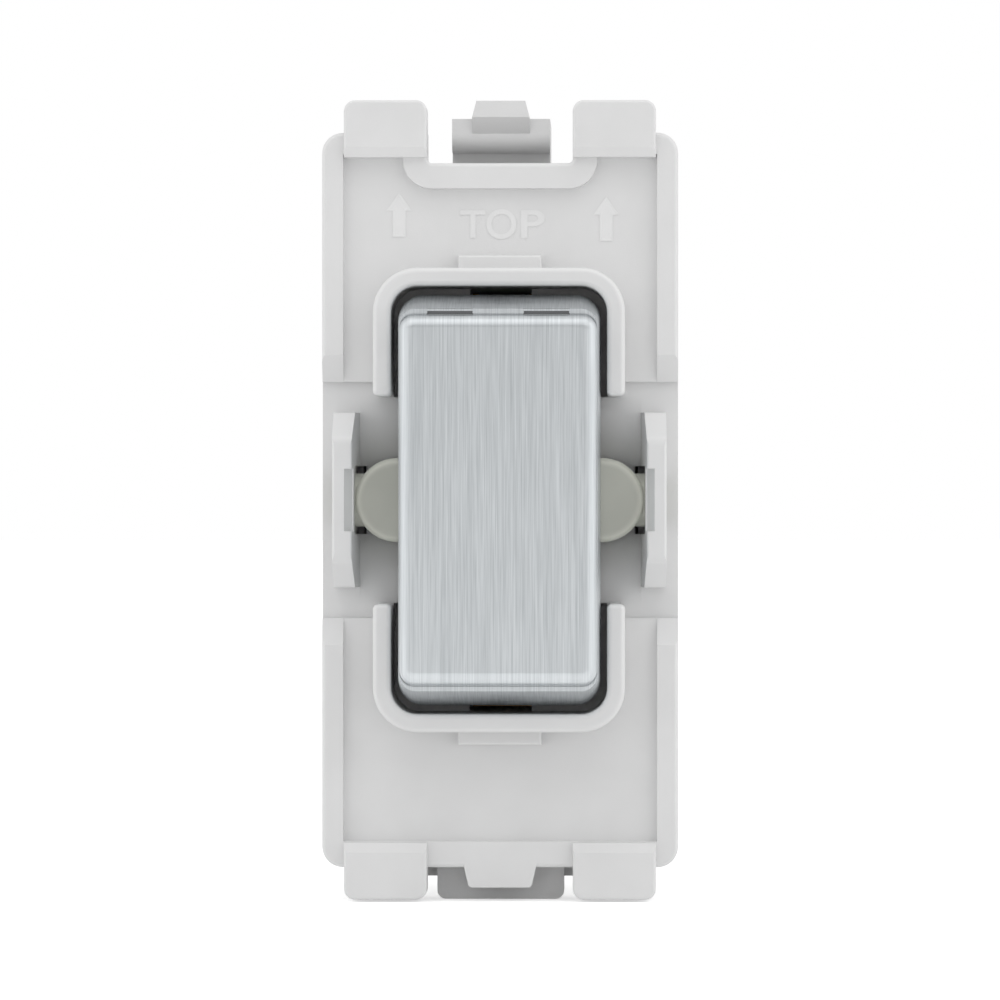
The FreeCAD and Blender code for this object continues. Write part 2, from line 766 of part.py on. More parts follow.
def fixed_tip():
    """The upper fixed contact: a domed face towards the blade, on a shank through the strap."""
    front_y = strap_front_y()
    dome = Part.makeSphere(tip_dome, point(0, front_y - fixed_tip_height + tip_dome, fixed_tip_z()))
    face = rod_y(tip_radius, 0, fixed_tip_z(), (front_y - fixed_tip_height, front_y))
    shank = rod_y(tip_shank, 0, fixed_tip_z(), (front_y, strap_back_y()))
    return joined(face.common(dome), [shank])


def strap(pieces):
    """A blanked brass strap from (x, z) boxes, each two (low, high) pairs."""
    y = (strap_front_y(), strap_back_y())
    plates = [block(x, y, z) for x, z in pieces]
    return joined(plates[0], plates[1:])


def tip_hole(z):
    return rod_y(tip_shank, 0, z, (strap_front_y(), strap_back_y()))


def terminal_z():
    """The (low, high) of the upper terminal blocks."""
    top = housing_height / 2 - housing_wall - pocket_gap
    return (top - terminal_height, top)


def live_strap_1():
    """From the upper fixed contact, up to the left terminal."""
    z = fixed_tip_z()
    top = terminal_z()[1]
    run = (-live_1_run - strap_width / 2, -live_1_run + strap_width / 2)
    step = (z, z + strap_width)
    body = strap([(centred(pad_half), (z - pad_half, z + strap_width)), ((run[0], pad_half), step), (run, (z, top))])
    return body.cut(tip_hole(z))


def live_strap_2():
    """From the lower fixed contact, along the right side and up to the right terminal."""
    z = fixed_tip_z()
    top = terminal_z()[1]
    run = (side_run - strap_width / 2, side_run + strap_width / 2)
    step = (-z - pad_half, -z - pad_half + strap_width)
    body = strap([(centred(pad_half), (-z - pad_half, -z + pad_half)), ((-pad_half, run[1]), step),
                  (run, (-z - pad_half, top))])
    return body.cut(tip_hole(-z))


def common_bracket():
    """The common strap, with the saddle on which the blade rocks, down to the foot terminal."""
    low, high = terminal_z()
    run = (-side_run - strap_width / 2, -side_run + strap_width / 2)
    cheek_x = blade_width / 2 + saddle_cheek_gap
    saddle_x = cheek_x + saddle_cheek
    body = strap([((run[0], saddle_x), centred(saddle_half_height)), (run, (-low - strap_width, saddle_half_height)),
                  ((run[0], terminal_width / 2 - 0.6), (-low - strap_width, -low))])
    ridge_radius = blade_bearing - fulcrum_gap
    front_y = strap_front_y()
    shoulder_y = fulcrum_y + 2 * ridge_radius
    ridge = from_side([(fulcrum_y, -ridge_radius), (fulcrum_y, ridge_radius), (shoulder_y, 3 * ridge_radius),
                       (front_y, 3 * ridge_radius), (front_y, -3 * ridge_radius), (shoulder_y, -3 * ridge_radius)],
                      centred(cheek_x))
    nose = rod_x(ridge_radius, fulcrum_y, 0, centred(cheek_x))
    cheek = block((cheek_x, saddle_x), (fulcrum_y - saddle_cheek_rise, front_y), centred(saddle_cheek_half))
    cheek = cheek.makeFillet(saddle_cheek_half / 2,
                             [e for e in edges_along(cheek, point(1, 0, 0)) if e.Vertexes[0].Y < fulcrum_y])
    return joined(body, [ridge, nose] + right_and_left(cheek))


# Terminals


def terminal_block(x, top):
    """A brass block with a cable bore up and down and a tapped hole from the back."""
    low, high = terminal_z()
    if not top:
        low, high = -high, -low
    front_y = strap_back_y()
    back_y = front_y + terminal_depth
    body = block((x - terminal_width / 2, x + terminal_width / 2), (front_y, back_y), (low, high))
    body = body.makeChamfer(terminal_edge, edges_along(body, point(0, 0, 1)))
    bore_y = front_y + cable_bore_inset
    tapped = rod_y(screw_radius + screw_clearance, x, (low + high) / 2, (bore_y, back_y))
    return body.cut([tapped, rod_z(cable_bore, x, bore_y, (low, high))])


def terminal_screw(x, top):
    """A slotted grub screw, backed out so that the bore is free for a cable."""
    low, high = terminal_z()
    z = (low + high) / 2 if top else -(low + high) / 2
    tip_y = strap_back_y() + cable_bore_inset + cable_bore + screw_tip_gap
    head_y = tip_y + screw_length
    body = rod_y(screw_radius, x, z, (tip_y, head_y))
    body = body.makeChamfer(screw_chamfer, edges_at_depth(body, tip_y) + edges_at_depth(body, head_y))
    slot = block((x - screw_radius, x + screw_radius), (head_y - screw_slot_depth, head_y),
                 (z - screw_slot_width / 2, z + screw_slot_width / 2))
    return body.cut(slot)


# Rear housing


def tower_back_y():
    return strap_back_y() + terminal_depth + tower_behind_block


def housing_body():
    """The solid block of the housing: a middle part and a deeper tower at each end."""
    half_z = housing_height / 2
    middle = rounded_plate(housing_width, housing_height, housing_corner, (flange_y, middle_back))
    tower = block(centred(housing_width / 2), (middle_back - 2 * tower_edge, tower_back_y()),
                  (half_z - tower_height, half_z))
    corners = [e for e in edges_along(tower, point(0, 1, 0)) if e.Vertexes[0].Z > half_z - 0.01]
    tower = tower.makeFillet(housing_corner, corners)
    tower = tower.makeFillet(tower_edge, edges_at_depth(tower, tower_back_y()))
    return joined(middle, top_and_bottom(tower))


def housing_flange():
    """The flange that closes the frame's back, with the tab that carries the fixed hook."""
    y = (flange_y, flange_back_y)
    plate = rounded_plate(module_width - 2 * flange_inset, frame_height - 2 * flange_inset, frame_corner, y)
    notch = block(centred(notch_width / 2 + 2 * flange_inset), y, (housing_height / 2, frame_top))
    leg_x = (housing_width / 2, module_width / 2)
    leg_z = (leg_offset - leg_width / 2 - flange_inset, leg_offset + leg_width / 2 + flange_inset)
    plate = plate.cut([notch] + four_ways(block(leg_x, y, leg_z)))
    tab = block(centred(hook_tab_half_width), y, (-frame_top - hook_tab_reach, -housing_height / 2))
    return joined(plate, [tab])


def fixed_hook():
    """The plate at the foot that goes behind the lower rail."""
    z = (-frame_top - hook_reach, -housing_height / 2)
    plate = block(centred(hook_half_width), (rail_gap, flange_back_y), z)
    tips = [e for e in edges_along(plate, point(0, 1, 0)) if e.Vertexes[0].Z < -frame_top]
    plate = plate.makeFillet(hook_corner, tips)
    stop = block(centred(hook_half_width), (rail_gap, flange_y), (-frame_top + skirt_wall, -housing_height / 2))
    return plate.cut(stop)


def snap_latch():
    """A springy arm from the back of the housing: a channel closed at its front by a rounded lip and an apron,
    with a thumb tongue on the lip."""
    top = frame_top + latch_rise
    back_y = latch_front + latch_length
    web = block(centred(latch_half_width), (latch_front, back_y), (top - latch_web, top))
    lip_y = (latch_front, latch_front + latch_lip_depth)
    lip = block(centred(latch_half_width), lip_y, (top - latch_web - latch_lip_drop, top))
    lower = [e for e in edges_along(lip, point(1, 0, 0)) if e.Vertexes[0].Y < lip_y[1] and e.Vertexes[0].Z < top]
    lip = lip.makeFillet(latch_lip_drop * 0.95, lower)
    apron = block(centred(latch_half_width), (lip_y[1], lip_y[1] + latch_apron),
                  (housing_height / 2 + latch_apron_gap, top))
    rib = block((latch_half_width - latch_rib, latch_half_width), (lip_y[1], back_y - latch_wall),
                (top - latch_web - latch_rib_depth, top))
    wall = block(centred(latch_half_width), (back_y - latch_wall, back_y), (housing_height / 2 - housing_wall / 2, top))
    tip_z = frame_top + lug_reach + latch_tongue_above_lugs
    bevel_z = tip_z - latch_tongue_bevel
    foot_z = top - latch_web
    profile = [(rail_gap, tip_z), (rail_gap, bevel_z), (latch_front, foot_z), (latch_front + 4, foot_z),
               (latch_front + 4, top), (rail_gap + latch_web, tip_z)]
    tongue = from_side(profile, centred(latch_tongue_half))
    taper = [(-latch_tongue_half, foot_z), (latch_tongue_half, foot_z), (latch_tongue_half, bevel_z),
             (latch_tongue_tip_half, tip_z), (-latch_tongue_tip_half, tip_z), (-latch_tongue_half, bevel_z)]
    tongue = tongue.common(from_front(taper, (rail_gap, latch_front + 4)))
    return joined(web, right_and_left(rib) + [lip, apron, wall, tongue])


def catch():
    """The wedge at the upper right that the snap leg's window closes on."""
    x = housing_width / 2
    y = (window_front + catch_gap, window_front + window_length - catch_gap)
    z = (leg_offset - window_width / 2 + catch_gap, leg_offset + window_width / 2 - catch_gap)
    wedge = [(x - 0.2, y[0]), (x, y[0]), (x + catch_height, y[1] - 0.4), (x + catch_height, y[1]), (x - 0.2, y[1])]
    return from_above(wedge, z)


def terminal_cuts(x, top):
    """The pocket for one terminal block, the well for its screw and the flared entry for its cable."""
    low, high = terminal_z()
    front_y = strap_back_y()
    back_y = front_y + terminal_depth + pocket_gap
    side = terminal_width / 2 + pocket_gap
    pocket = block((x - side, x + side), (front_y, back_y), (low - pocket_gap, high + pocket_gap))
    well = rod_y(screw_well, x, (low + high) / 2, (back_y, tower_back_y()))
    mouth = cone_y((screw_well, screw_well + tower_edge), x, (low + high) / 2,
                   (tower_back_y() - tower_edge, tower_back_y()))
    outer_z = housing_height / 2
    bore_y = front_y + cable_bore_inset
    entry = rod_z(cable_entry, x, bore_y, (high, outer_z))
    flare = Part.makeCone(cable_entry, cable_entry + cable_entry_flare, housing_wall * 0.6,
                          point(x, bore_y, outer_z - housing_wall * 0.6), point(0, 0, 1))
    cuts = [pocket, well, mouth, entry, flare]
    return cuts if top else [cut.mirror(point(0, 0, 0), point(0, 0, 1)) for cut in cuts]


def rear_housing():
    housing = joined(housing_body(), [housing_flange(), fixed_hook()] + four_ways(catch()))
    half_x = housing_width / 2 - housing_wall
    half_z = housing_height / 2 - housing_wall
    chamber = block(centred(half_x), (flange_y, strap_back_y()), centred(half_z))
    cuts = [chamber]
    for x, top in ((-terminal_offset, True), (terminal_offset, True), (0, False)):
        cuts += terminal_cuts(x, top)
    core_z = housing_height / 2 - tower_height - housing_wall
    core = block((middle_rib / 2, half_x), (strap_back_y() + middle_floor, middle_back), centred(core_z))
    core = core.makeFillet(housing_corner / 2, edges_along(core, point(0, 1, 0)))
    housing = housing.cut(cuts + right_and_left(core))
    return joined(housing, [snap_latch()])


def all_parts():
    screws = {"common_screw": (0, False), "live_screw_1": (-terminal_offset, True),
              "live_screw_2": (terminal_offset, True)}
    blocks = {"common_terminal": (0, False), "live_terminal_1": (-terminal_offset, True),
              "live_terminal_2": (terminal_offset, True)}
    parts = {
        "front_frame": front_frame(),
        "rear_housing": rear_housing(),
        "rocker_cap": rocker_cap(),
        "rocker_dolly": rocker_dolly(),
        "plunger": plunger(),
        "plunger_spring": plunger_spring(),
        "moving_contact": moving_contact(),
        "common_bracket": common_bracket(),
        "live_strap_1": live_strap_1(),
        "live_strap_2": live_strap_2(),
    }
    for name, solid in (("return_spring", return_spring()), ("moving_tip", moving_tip()), ("fixed_tip", fixed_tip())):
        parts[name + "_upper"], parts[name + "_lower"] = top_and_bottom(solid)
    for name, place in screws.items():
        parts[name] = terminal_screw(*place)
    for name, place in blocks.items():
        parts[name] = terminal_block(*place)
    return parts


os.makedirs("parts", exist_ok=True)
for name, solid in sorted(all_parts().items()):
    solid.exportStep("parts/" + name + ".step")
    print(name, len(solid.Solids), "solid", round(solid.Volume, 2), "mm3", solid.isValid())
print("contact blade turns", round(contact_angle, 2), "degrees each way on the line y", round(fulcrum_y, 3))
print("cable bores at y", round(strap_back_y() + cable_bore_inset, 3), "terminals at z", terminal_z())
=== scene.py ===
# %% [markdown]
# # A retractive switch module
# The switch clips into a wiring grid behind a front plate. Pressing either end of its steel rocker
# makes a contact, and letting go lets it swing back level. The imported model already holds every
# moulding, strip and screw in its true place, so this lesson adds the camera, the light, the finishes,
# the small raised marks and new coils in place of the packed springs.

# %% Load the imported switch
import math

import bmesh
import bpy
from mathutils import Matrix, Vector


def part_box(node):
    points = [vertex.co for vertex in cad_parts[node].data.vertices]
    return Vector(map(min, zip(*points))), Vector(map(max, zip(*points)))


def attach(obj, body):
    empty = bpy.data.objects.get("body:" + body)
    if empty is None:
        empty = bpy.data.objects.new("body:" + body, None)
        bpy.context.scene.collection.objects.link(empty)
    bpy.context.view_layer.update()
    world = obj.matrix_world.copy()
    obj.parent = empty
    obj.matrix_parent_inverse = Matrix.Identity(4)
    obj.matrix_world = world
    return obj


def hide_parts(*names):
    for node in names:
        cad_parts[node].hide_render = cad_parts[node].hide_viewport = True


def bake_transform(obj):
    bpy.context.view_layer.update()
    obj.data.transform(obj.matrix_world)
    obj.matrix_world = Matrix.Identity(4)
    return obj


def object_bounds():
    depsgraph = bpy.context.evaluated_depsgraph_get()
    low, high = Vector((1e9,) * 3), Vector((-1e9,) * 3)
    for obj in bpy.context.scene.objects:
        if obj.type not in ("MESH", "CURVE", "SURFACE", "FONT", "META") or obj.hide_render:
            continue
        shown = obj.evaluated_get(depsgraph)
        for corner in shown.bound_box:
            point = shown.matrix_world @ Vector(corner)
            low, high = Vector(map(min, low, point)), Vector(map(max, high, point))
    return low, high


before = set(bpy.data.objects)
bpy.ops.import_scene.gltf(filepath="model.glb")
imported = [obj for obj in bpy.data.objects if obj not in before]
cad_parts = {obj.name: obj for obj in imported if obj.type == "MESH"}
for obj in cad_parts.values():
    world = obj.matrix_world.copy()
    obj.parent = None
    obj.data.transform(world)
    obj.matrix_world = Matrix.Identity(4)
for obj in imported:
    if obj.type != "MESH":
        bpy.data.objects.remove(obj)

MM = 0.001
cad_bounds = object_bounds()
print("the packed switch has", len(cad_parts), "pieces")

# %% [markdown]
# ## Camera
# The photograph looks almost straight at the rocker from about half a metre, so the sides of the collar
# hardly show. A long lens at that distance gives the same slight widening of the rocker, which stands
# nearer than the frame. What stands nearer is also a little further left in the picture, so the camera
# is a degree to the right.

# %% Camera
RIM_DEPTH = -1.8 * MM
CAMERA_DISTANCE = 450 * MM
PICTURE_WIDTH = 67.35 * MM
CAMERA_TURN = math.radians(0.95)

camera_data = bpy.data.cameras.new("front_camera")
camera_data.sensor_width = 36
camera_data.lens = camera_data.sensor_width * CAMERA_DISTANCE / PICTURE_WIDTH
camera_data.clip_start = 10 * MM
camera = bpy.data.objects.new("front_camera", camera_data)
across = CAMERA_DISTANCE * math.sin(CAMERA_TURN)
away = CAMERA_DISTANCE * math.cos(CAMERA_TURN)
camera.location = (across, RIM_DEPTH - away, 0)
camera.rotation_euler = (math.radians(90), 0, CAMERA_TURN)
bpy.context.scene.collection.objects.link(camera)
bpy.context.scene.camera = camera
bpy.context.scene.view_settings.view_transform = "Standard"
print("lens", round(camera_data.lens, 1), "mm")

# %% [markdown]
# ## Light from all round
# White plastic on a white ground needs soft light from all round, or its rims vanish. The world gives
# most of it, at a level where a colour renders about as it is written. It is dimmer in front, where a
# camera and its stand would darken a light tent, so the light grazes the relief, the flat face of the
# steel is grey and its rounded edges are bright. Light Path makes the world plain white to the camera,
# and to the steel away from the front, which adds no light to the plastic.

# %% World
AMBIENT = 0.68
DARK_FRONT = 0.45
DARK_FRONT_EDGE = 0.3
WHITE = (1, 1, 1, 1)


def maths(tree, operation, *values):
    """The result of a Math node whose inputs are other nodes' outputs or plain numbers."""
    node = tree.nodes.new("ShaderNodeMath")
    node.operation = operation
    for entry, value in zip(node.inputs, values):
        if isinstance(value, bpy.types.NodeSocket):
            tree.links.new(value, entry)
        else:
            entry.default_value = value
    return node.outputs[0]


def mixed_colours(tree, factor, first, second):
    """The first colour where the factor is 0 and the second where it is 1."""
    node = tree.nodes.new("ShaderNodeMix")
    node.data_type = "RGBA"
    tree.links.new(factor, node.inputs["Factor"])
    for entry, colour in (("A", first), ("B", second)):
        if isinstance(colour, bpy.types.NodeSocket):
            tree.links.new(colour, node.inputs[entry])
        else:
            node.inputs[entry].default_value = colour
    return node.outputs["Result"]


world = bpy.data.worlds.new("white_studio")
bpy.context.scene.world = world
world.use_nodes = True
sky = world.node_tree
direction = sky.nodes.new("ShaderNodeTexCoord")
towards_camera = sky.nodes.new("ShaderNodeVectorMath")
towards_camera.operation = "DOT_PRODUCT"
towards_camera.inputs[1].default_value = (0, -1, 0)
sky.links.new(direction.outputs["Generated"], towards_camera.inputs[0])
dark_front = sky.nodes.new("ShaderNodeMapRange")
dark_front.interpolation_type = "SMOOTHSTEP"
dark_front.inputs["From Min"].default_value = DARK_FRONT_EDGE
dark_front.inputs["To Min"].default_value = 1.0
dark_front.inputs["To Max"].default_value = DARK_FRONT
sky.links.new(towards_camera.outputs["Value"], dark_front.inputs["Value"])
tent = dark_front.outputs["Result"]

path = sky.nodes.new("ShaderNodeLightPath")
mirrored = mixed_colours(sky, path.outputs["Is Glossy Ray"], maths(sky, "MULTIPLY", tent, AMBIENT), tent)
seen = maths(sky, "MAXIMUM", path.outputs["Is Camera Ray"], path.outputs["Is Transmission Ray"])
sky.links.new(mixed_colours(sky, seen, mirrored, WHITE), sky.nodes["Background"].inputs["Color"])
print("the world lights at", AMBIENT, "of white")

# %% [markdown]
# ## Lamps
# Light that is the same from everywhere shows no shape, so three wide lamps and a low one in front add
# a little. The wide ones are large and dim, because the steel mirrors them too, and a small bright lamp
# would burn a white line along its edges. The low one faces the steel, so the steel doesn't mirror it.

# %% Lamps


def soft_lamp(name, place, brightness, width, height, mirrored=True):
    """A lamp that looks at the middle of the switch, as bright as so many times white."""
    data = bpy.data.lights.new(name, "AREA")
    data.shape = "RECTANGLE"
    data.size = width
    data.size_y = height
    data.energy = brightness * math.pi * width * height
    lamp = bpy.data.objects.new(name, data)
    lamp.location = place
    lamp.rotation_euler = Vector(place).to_track_quat("Z", "Y").to_euler()
    lamp.visible_glossy = mirrored
    bpy.context.scene.collection.objects.link(lamp)
    print(name, round(data.energy, 2), "W")


soft_lamp("high_front_lamp", (0.0, -0.7, 0.85), 0.66, 1.3, 1.3)
soft_lamp("left_lamp", (-1.0, -0.4, 0.15), 0.35, 1.6, 1.6)
soft_lamp("right_lamp", (1.0, -0.4, 0.15), 0.5, 1.6, 1.6)
soft_lamp("low_front_lamp", (0.0, -0.9, 0.1), 0.95, 1.2, 0.24, mirrored=False)

# %% [markdown]
# ## Floor
# The switch stands on its two lower lugs on a pale sheet. Seen from the front, the sheet should melt
# into the white ground and the steel should mirror it as white, so a little light is added to it for
# those rays alone, and its shadow stays soft grey.

# %% Floor
FLOOR_HALF = 4.0
FLOOR_WHITE = 0.9
FLOOR_GLOW = 0.5
FLOOR_Z = cad_bounds[0][2]

sheet = bmesh.new()
bmesh.ops.create_grid(sheet, x_segments=1, y_segments=1, size=FLOOR_HALF)
bmesh.ops.translate(sheet, verts=sheet.verts, vec=(0, 0, FLOOR_Z))
floor_mesh = bpy.data.meshes.new("pale_floor")
sheet.to_mesh(floor_mesh)
sheet.free()
floor = bpy.data.objects.new("pale_floor", floor_mesh)
bpy.context.scene.collection.objects.link(floor)

floor_look = bpy.data.materials.new("pale_floor")
floor_look.use_nodes = True
tree = floor_look.node_tree
shader = tree.nodes["Principled BSDF"]
shader.inputs["Base Color"].default_value = (FLOOR_WHITE, FLOOR_WHITE, FLOOR_WHITE, 1)
shader.inputs["Roughness"].default_value = 0.9
shader.inputs["Emission Color"].default_value = WHITE
path = tree.nodes.new("ShaderNodeLightPath")
seen = maths(tree, "MAXIMUM", path.outputs["Is Camera Ray"], path.outputs["Is Glossy Ray"])
tree.links.new(maths(tree, "MULTIPLY", seen, FLOOR_GLOW), shader.inputs["Emission Strength"])
floor_mesh.materials.append(floor_look)
print("floor at z", round(FLOOR_Z / MM, 2), "mm")

# %% [markdown]
# ## Helpers for finishes
# Every finish here starts the same way: a noise texture on Object coordinates, whose numbers are
# metres, so a scale of 4000 makes marks a quarter of a millimetre wide. A ramp turns the noise into two
# close tones, and a fine noise drives the bump.

# %% Finish helpers


def new_finish(name, roughness, metallic=0.0):
    """A material with a Principled shader, and the object's own coordinates."""
    finish = bpy.data.materials.new(name)
    finish.use_nodes = True
    nodes = finish.node_tree.nodes
    shader = nodes["Principled BSDF"]
    shader.inputs["Metallic"].default_value = metallic
    shader.inputs["Roughness"].default_value = roughness
    place = nodes.new("ShaderNodeTexCoord")
    return finish, shader, place.outputs["Object"]


def noise(finish, coordinates, scale, detail=3.0, stretch=(1, 1, 1), rough=0.55):
    """Noise on the coordinates, drawn out where a stretch is below one."""
    tree = finish.node_tree
    mapping = tree.nodes.new("ShaderNodeMapping")
    mapping.inputs["Scale"].default_value = stretch
    texture = tree.nodes.new("ShaderNodeTexNoise")
    texture.inputs["Scale"].default_value = scale
    texture.inputs["Detail"].default_value = detail
    texture.inputs["Roughness"].default_value = rough
    tree.links.new(coordinates, mapping.inputs["Vector"])
    tree.links.new(mapping.outputs["Vector"], texture.inputs["Vector"])
    return texture.outputs["Fac"]


def two_tones(finish, factor, dark, light, low=0.35, high=0.65):
    """A ramp from a dark tone to a light one."""
    ramp = finish.node_tree.nodes.new("ShaderNodeValToRGB")
    ramp.color_ramp.elements[0].position = low
    ramp.color_ramp.elements[0].color = (*dark, 1)
    ramp.color_ramp.elements[1].position = high
    ramp.color_ramp.elements[1].color = (*light, 1)
    finish.node_tree.links.new(factor, ramp.inputs["Fac"])
    return ramp.outputs["Color"]


def spread(finish, factor, low, high):
    """The factor, from 0 to 1, as a number between low and high."""
    remap = finish.node_tree.nodes.new("ShaderNodeMapRange")
    remap.inputs["To Min"].default_value = low
    remap.inputs["To Max"].default_value = high
    finish.node_tree.links.new(factor, remap.inputs["Value"])
    return remap.outputs["Result"]


def bump(finish, shader, factor, height):
    """Raises the surface by the factor times a height in metres."""
    node = finish.node_tree.nodes.new("ShaderNodeBump")
    node.inputs["Distance"].default_value = height
    finish.node_tree.links.new(factor, node.inputs["Height"])
    finish.node_tree.links.new(node.outputs["Normal"], shader.inputs["Normal"])


def blended(finish, factor, first, second):
    """The mix of two numbers by a factor."""
    mix = finish.node_tree.nodes.new("ShaderNodeMix")
    finish.node_tree.links.new(factor, mix.inputs["Factor"])
    finish.node_tree.links.new(first, mix.inputs["A"])
    finish.node_tree.links.new(second, mix.inputs["B"])
    return mix.outputs["Result"]


def tint(colour, factor):
    """The colour made paler or darker by a factor."""
    return tuple(min(1.0, channel * factor) for channel in colour)


def facing(finish, axis):
    """How squarely the surface faces along an axis of the piece, from 0 to 1."""
    tree = finish.node_tree
    place = tree.nodes.new("ShaderNodeTexCoord")
    parts = tree.nodes.new("ShaderNodeSeparateXYZ")
    tree.links.new(place.outputs["Normal"], parts.inputs["Vector"])
    return maths(tree, "ABSOLUTE", parts.outputs[axis])


print("finish helpers are ready")


# %% [markdown]
# ## Moulded plastics
# The frame and housing come from a mould that was spark-eroded, so their faces have a very fine, even
# grain and a satin sheen. Colour hardly changes across them. The nylon of the rocker's carrier is
# greyer and a touch waxier, with faint flow clouds where the melt met. All of them share one recipe
# with other numbers. Faces that turn away from the front are painted paler on the frame, and more on
# the carrier: a painted highlight along their rounded edges.

# %% Moulded plastics
CLOUD_SCALE = 180
PATCH_SCALE = 900
EROSION_SCALE = 9000
EDGE_HIGHLIGHT_GAIN = 6.0


def moulded_plastic(name, colour, roughness, grain, cloud=0.02, edge=1.0):
    """Satin plastic: faint clouds in the colour, an eroded grain, and faces turned from the front painted
    paler where edge is above one (a painted highlight) and darker where it is below one (a painted shade).
    """
    finish, shader, coordinates = new_finish(name, roughness)
    tree = finish.node_tree
    clouds = noise(finish, coordinates, CLOUD_SCALE, detail=2.0)
    tones = two_tones(finish, clouds, tint(colour, 1 - cloud), tint(colour, 1 + cloud))
    # painted highlight: faces turned away from the front take the edge tone, paler when edge is above one
    turned_away = spread(finish, maths(tree, "SUBTRACT", 1.0, facing(finish, "Y")), 0.0, EDGE_HIGHLIGHT_GAIN)
    edge_highlighted_tones = mixed_colours(tree, turned_away, tones, (*tint(colour, edge), 1))
    tree.links.new(edge_highlighted_tones, shader.inputs["Base Color"])
    patches = noise(finish, coordinates, PATCH_SCALE, detail=4.0)
    tree.links.new(spread(finish, patches, roughness - 0.07, roughness + 0.07), shader.inputs["Roughness"])
    erosion = noise(finish, coordinates, EROSION_SCALE, detail=2.0)
    bump(finish, shader, erosion, grain)
    return finish


# edge above one paints a highlight on the rounded edges of the frame and, more strongly, of the carrier
white_moulding = moulded_plastic("white_moulding", (0.735, 0.735, 0.735), 0.46, 0.006 * MM, edge=1.08)
rear_moulding = moulded_plastic("rear_moulding", (0.73, 0.73, 0.73), 0.5, 0.008 * MM)
carrier_nylon = moulded_plastic("carrier_nylon", (0.41, 0.415, 0.37), 0.42, 0.006 * MM, cloud=0.05, edge=1.4)
# painted highlight: the marks are the frame's plastic painted paler where light catches the raised relief;
# the lower roughness is their own
polished_marks_painted_pale = moulded_plastic("polished_marks_painted_pale", (0.78, 0.78, 0.78), 0.3, 0.002 * MM)
plunger_nylon = moulded_plastic("plunger_nylon", (0.66, 0.63, 0.55), 0.38, 0.002 * MM, cloud=0.03)
print("five moulded plastics")

# %% [markdown]
# ## Brushed steel
# The rocker's cap is a thin steel pressing, brushed along its length. The fine scratches run up and
# down on the face and carry on over the soft edges. The noise is squeezed hard across the scratch and
# drawn out along it, and the side walls read it from the depth instead, because there the width doesn't
# change. Two finer octaves lie over the first, so the hair lines differ in width and length. The
# shader's anisotropy is a plain number, so it survives an export. Inside the two slots in the crease at
# the top, a box in Object coordinates paints the steel dark grey, a painted shade.

# %% Brushed steel
SCRATCH_SCALE = 12000
BAND_SCALE = 11000
SLOT_LOW = (1.65 * MM, -9.08 * MM, 12.3 * MM)
SLOT_HIGH = (4.75 * MM, -8.6 * MM, 12.7 * MM)
# painted shade: the dark colour given to the steel inside the two slots in the crease
SLOT_SHADE_COLOUR = (0.17, 0.175, 0.18)


def slot_shade_mask(finish, coordinates):
    """1 inside the two slots where shade is painted, which lie equally far left and right of the middle, and
    0 elsewhere.
    """
    tree = finish.node_tree
    parts = tree.nodes.new("ShaderNodeSeparateXYZ")
    tree.links.new(coordinates, parts.inputs["Vector"])
    from_middle = maths(tree, "ABSOLUTE", parts.outputs["X"])
    inside = 1.0
    for value, low, high in zip((from_middle, parts.outputs["Y"], parts.outputs["Z"]), SLOT_LOW, SLOT_HIGH):
        within = maths(tree, "COMPARE", value, (low + high) / 2, (high - low) / 2)
        inside = maths(tree, "MULTIPLY", within, inside)
    return inside


def brushed_steel(name, dark, light):
    """Steel with scratches that run along the height of the switch."""
    finish, shader, coordinates = new_finish(name, 0.38, metallic=1.0)
    tree = finish.node_tree
    shader.inputs["Anisotropic"].default_value = 0.3
    across_face = noise(finish, coordinates, SCRATCH_SCALE, detail=2.0, stretch=(1, 0.02, 0.014), rough=0.7)
    across_side = noise(finish, coordinates, SCRATCH_SCALE, detail=2.0, stretch=(0.02, 1, 0.014), rough=0.7)
    scratches = blended(finish, facing(finish, "X"), across_face, across_side)
    tones = two_tones(finish, scratches, dark, light, 0.3, 0.7)
    # painted shade: inside the two slots the steel takes the slot shade colour
    slot_shaded_tones = mixed_colours(tree, slot_shade_mask(finish, coordinates), tones, (*SLOT_SHADE_COLOUR, 1))
    tree.links.new(slot_shaded_tones, shader.inputs["Base Color"])
    bands = noise(finish, coordinates, BAND_SCALE, detail=2.0, stretch=(1, 0.05, 0.05))
    tree.links.new(spread(finish, bands, 0.36, 0.42), shader.inputs["Roughness"])
    bump(finish, shader, scratches, 0.002 * MM)
    return finish


cap_steel = brushed_steel("cap_steel", (0.465, 0.49, 0.505), (0.635, 0.66, 0.675))
print("cap steel brushed along Z")

# %% [markdown]
# ## Metals inside
# Blanked brass keeps a faint rolled grain and dulls in patches, sawn terminal bar is a little rougher,
# and silver tips are pressed smooth. Drawn wire and plated screws are greyer. One recipe covers them,
# with a rolled streak whose direction and strength can be set.

# %% Metals inside
GRAIN_SCALE = 3200
DULL_SCALE = 420
ROLLED = (1, 1, 0.15)
EVEN = (1, 1, 1)


def worked_metal(name, dark, light, roughness, streak=ROLLED, relief=0.003 * MM):
    """Metal with a rolled or drawn streak, and patches where it has dulled."""
    finish, shader, coordinates = new_finish(name, roughness, metallic=1.0)
    grain = noise(finish, coordinates, GRAIN_SCALE, detail=4.0, stretch=streak)
    dulled = noise(finish, coordinates, DULL_SCALE, detail=3.0)
    tones = two_tones(finish, blended(finish, dulled, grain, dulled), dark, light)
    finish.node_tree.links.new(tones, shader.inputs["Base Color"])
    shine = spread(finish, dulled, roughness - 0.1, roughness + 0.12)
    finish.node_tree.links.new(shine, shader.inputs["Roughness"])
    bump(finish, shader, grain, relief)
    return finish


